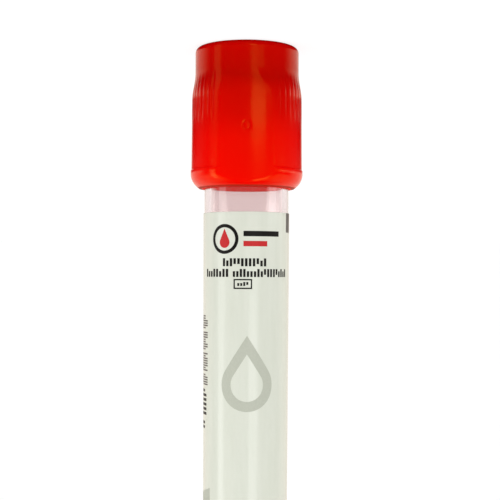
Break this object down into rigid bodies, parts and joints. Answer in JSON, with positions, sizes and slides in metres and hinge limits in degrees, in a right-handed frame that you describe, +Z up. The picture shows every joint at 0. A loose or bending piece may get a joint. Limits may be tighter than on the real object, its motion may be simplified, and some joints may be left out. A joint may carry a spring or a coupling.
{
  "type": "blood collection tube",
  "caption": "Closed vacuum blood collection tube: clear round-bottomed tube, rubber stopper under a ribbed red safety cap, and a wrapped label.",
  "frame": {"origin": "on the surface the closed tube stands on, cap down, at the tube's axis", "axes": "+Z up the tube's axis, from the cap to its round end; -Y through the middle of the label's front; -X to the right of the label as it is read"},
  "size_m": [0.0174, 0.016, 0.0847],
  "materials": {
    "clear_plastic": "clear moulded PET, glossy, see-through",
    "label_film": "printed cream self-adhesive film with a slight sheen",
    "grey_rubber": "moulded grey butyl rubber, matte",
    "red_plastic": "translucent red moulded polyethylene, glossy"
  },
  "bodies": {
    "cap": {"safety_cap": "red_plastic"},
    "stopper": {"stopper": "grey_rubber"},
    "tube": {"tube": "clear_plastic", "label": "label_film"}
  },
  "joints": [
    {"name": "cap_twist", "type": "hinge", "parent": "cap", "child": "stopper", "pos_m": [0, 0, 0.0218], "axis": [0, 0, 1], "continuous": true},
    {"name": "closure_pull", "type": "slide", "parent": "stopper", "child": "tube", "axis": [0, 0, 1], "range_m": [0, 0.03]}
  ]
}
